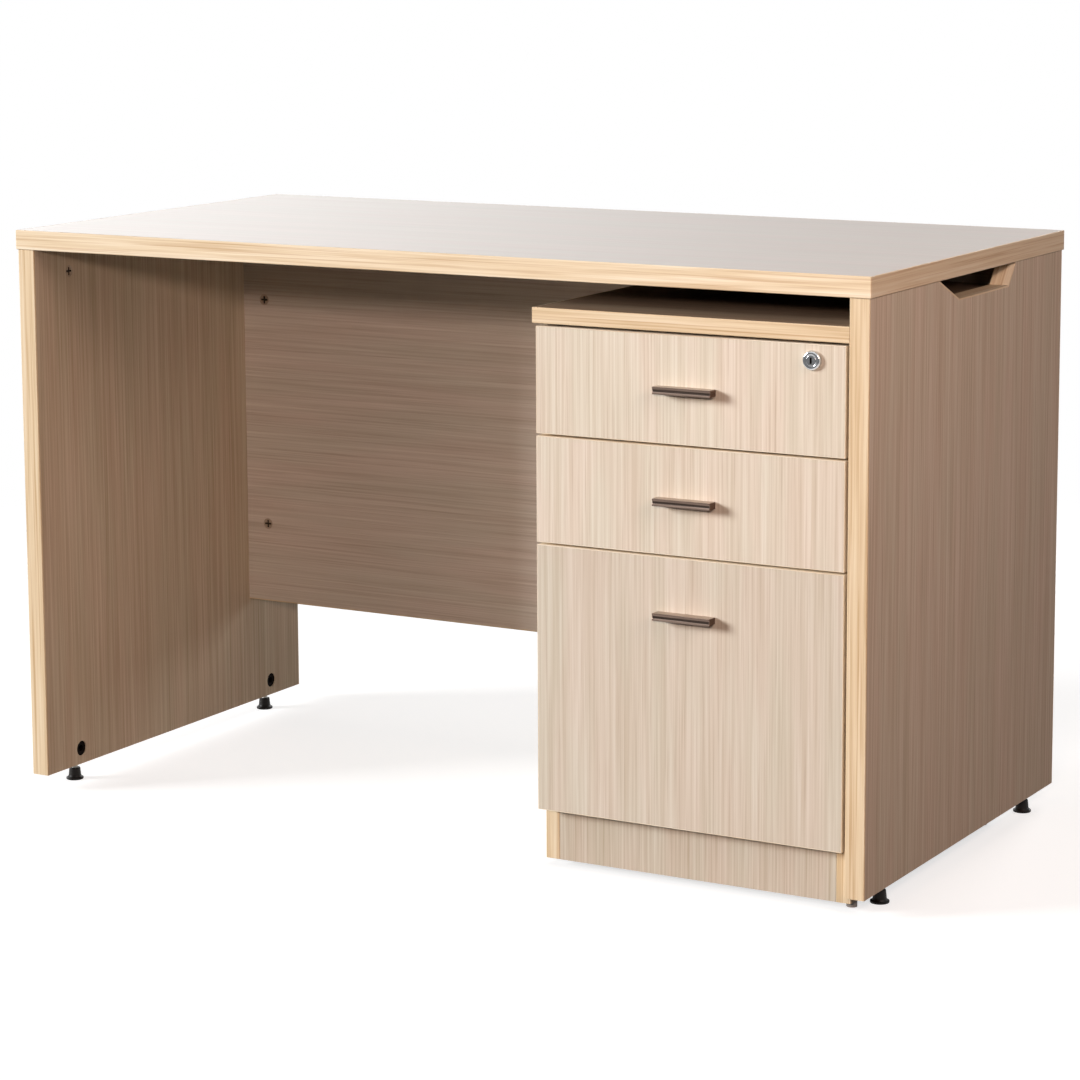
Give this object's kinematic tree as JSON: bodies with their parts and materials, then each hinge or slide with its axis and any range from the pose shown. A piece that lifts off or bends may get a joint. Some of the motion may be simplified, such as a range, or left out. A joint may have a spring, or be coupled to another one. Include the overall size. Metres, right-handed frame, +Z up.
{
  "type": "executive desk",
  "caption": "Executive desk with panel legs, a modesty panel, a lockable drawer pedestal on the right and a cable notch in the right side",
  "frame": {"origin": "centre of the footprint, handles included, on the floor", "axes": "+X to the right as seen by the user who faces the drawers, +Y away from the user, +Z up"},
  "size_m": [1.2, 0.614, 0.742],
  "materials": {
    "desktop_laminate": "smooth pale grey-beige laminate",
    "panel_laminate": "grey-beige laminate with a fine vertical wood grain",
    "edge_band": "light oak pattern edge band",
    "drawer_box": "pale melamine",
    "back_board": "thin hardboard with a matt face",
    "dowel_wood": "fluted beech",
    "zinc_fittings": "zinc plated",
    "runner_steel": "bright zinc plated",
    "handle_metal": "brushed dark bronze",
    "lock_chrome": "polished",
    "black_plastic": "black",
    "grey_plastic": "grey"
  },
  "bodies": {
    "desk": {"desktop_board": "desktop_laminate", "desktop_edge_band": "edge_band", "left_panel": "panel_laminate", "right_panel": "panel_laminate", "modesty_panel": "panel_laminate", "panel_edge_bands": "edge_band", "pedestal_left_side": "panel_laminate", "pedestal_right_side": "panel_laminate", "pedestal_top": "panel_laminate", "pedestal_bottom": "panel_laminate", "plinth_board": "panel_laminate", "pedestal_back": "back_board", "cam_fittings": "zinc_fittings", "wooden_dowels": "dowel_wood", "pedestal_screws": "zinc_fittings", "back_board_nails": "zinc_fittings", "foot_sockets": "black_plastic", "pedestal_glides": "grey_plastic", "fixed_runners": "runner_steel"},
    "drawer_1": {"drawer_1_front": "panel_laminate", "drawer_1_front_edge_band": "edge_band", "drawer_1_left_side": "drawer_box", "drawer_1_right_side": "drawer_box", "drawer_1_back": "drawer_box", "drawer_1_bottom": "drawer_box", "drawer_1_handle": "handle_metal", "drawer_1_fasteners": "zinc_fittings", "drawer_1_inner_runners": "runner_steel", "lock_housing": "lock_chrome"},
    "drawer_1_middle_runners": {"drawer_1_middle_runners": "runner_steel"},
    "drawer_2": {"drawer_2_front": "panel_laminate", "drawer_2_front_edge_band": "edge_band", "drawer_2_left_side": "drawer_box", "drawer_2_right_side": "drawer_box", "drawer_2_back": "drawer_box", "drawer_2_bottom": "drawer_box", "drawer_2_handle": "handle_metal", "drawer_2_fasteners": "zinc_fittings", "drawer_2_inner_runners": "runner_steel"},
    "drawer_2_middle_runners": {"drawer_2_middle_runners": "runner_steel"},
    "drawer_3": {"drawer_3_front": "panel_laminate", "drawer_3_front_edge_band": "edge_band", "drawer_3_left_side": "drawer_box", "drawer_3_right_side": "drawer_box", "drawer_3_back": "drawer_box", "drawer_3_bottom": "drawer_box", "drawer_3_handle": "handle_metal", "drawer_3_fasteners": "zinc_fittings", "drawer_3_inner_runners": "runner_steel"},
    "drawer_3_middle_runners": {"drawer_3_middle_runners": "runner_steel"},
    "lock_plug": {"lock_plug": "lock_chrome"},
    "lock_bolt": {"lock_bolt": "runner_steel"},
    "front_left_foot": {"front_left_foot_pad": "black_plastic", "front_left_foot_stud": "zinc_fittings"},
    "rear_left_foot": {"rear_left_foot_pad": "black_plastic", "rear_left_foot_stud": "zinc_fittings"},
    "front_right_foot": {"front_right_foot_pad": "black_plastic", "front_right_foot_stud": "zinc_fittings"},
    "rear_right_foot": {"rear_right_foot_pad": "black_plastic", "rear_right_foot_stud": "zinc_fittings"}
  },
  "joints": [
    {"name": "drawer_1_slide", "type": "slide", "parent": "desk", "child": "drawer_1", "axis": [0, -1, 0], "range_m": [0, 0.4]},
    {"name": "drawer_1_middle_runner_slide", "type": "slide", "parent": "desk", "child": "drawer_1_middle_runners", "axis": [0, -1, 0], "range_m": [0, 0.2]},
    {"name": "drawer_2_slide", "type": "slide", "parent": "desk", "child": "drawer_2", "axis": [0, -1, 0], "range_m": [0, 0.4]},
    {"name": "drawer_2_middle_runner_slide", "type": "slide", "parent": "desk", "child": "drawer_2_middle_runners", "axis": [0, -1, 0], "range_m": [0, 0.2]},
    {"name": "drawer_3_slide", "type": "slide", "parent": "desk", "child": "drawer_3", "axis": [0, -1, 0], "range_m": [0, 0.4]},
    {"name": "drawer_3_middle_runner_slide", "type": "slide", "parent": "desk", "child": "drawer_3_middle_runners", "axis": [0, -1, 0], "range_m": [0, 0.2]},
    {"name": "lock_plug_turn", "type": "hinge", "parent": "drawer_1", "child": "lock_plug", "pos_m": [0.528, -0.28, 0.6435], "axis": [0, 1, 0], "range_deg": [0, 180]},
    {"name": "lock_bolt_slide", "type": "slide", "parent": "drawer_1", "child": "lock_bolt", "axis": [0, 0, 1], "range_m": [0, 0.008]},
    {"name": "front_left_foot_height", "type": "slide", "parent": "desk", "child": "front_left_foot", "axis": [0, 0, -1], "range_m": [-0.006, 0.012]},
    {"name": "rear_left_foot_height", "type": "slide", "parent": "desk", "child": "rear_left_foot", "axis": [0, 0, -1], "range_m": [-0.006, 0.012]},
    {"name": "front_right_foot_height", "type": "slide", "parent": "desk", "child": "front_right_foot", "axis": [0, 0, -1], "range_m": [-0.006, 0.012]},
    {"name": "rear_right_foot_height", "type": "slide", "parent": "desk", "child": "rear_right_foot", "axis": [0, 0, -1], "range_m": [-0.006, 0.012]}
  ],
  "couplings": [
    {"joint": "drawer_1_middle_runner_slide", "follows": "drawer_1_slide", "ratio": 0.5},
    {"joint": "drawer_2_middle_runner_slide", "follows": "drawer_2_slide", "ratio": 0.5},
    {"joint": "drawer_3_middle_runner_slide", "follows": "drawer_3_slide", "ratio": 0.5},
    {"joint": "lock_plug_turn", "follows": "lock_bolt_slide", "rad_per_m": 392.6}
  ]
}
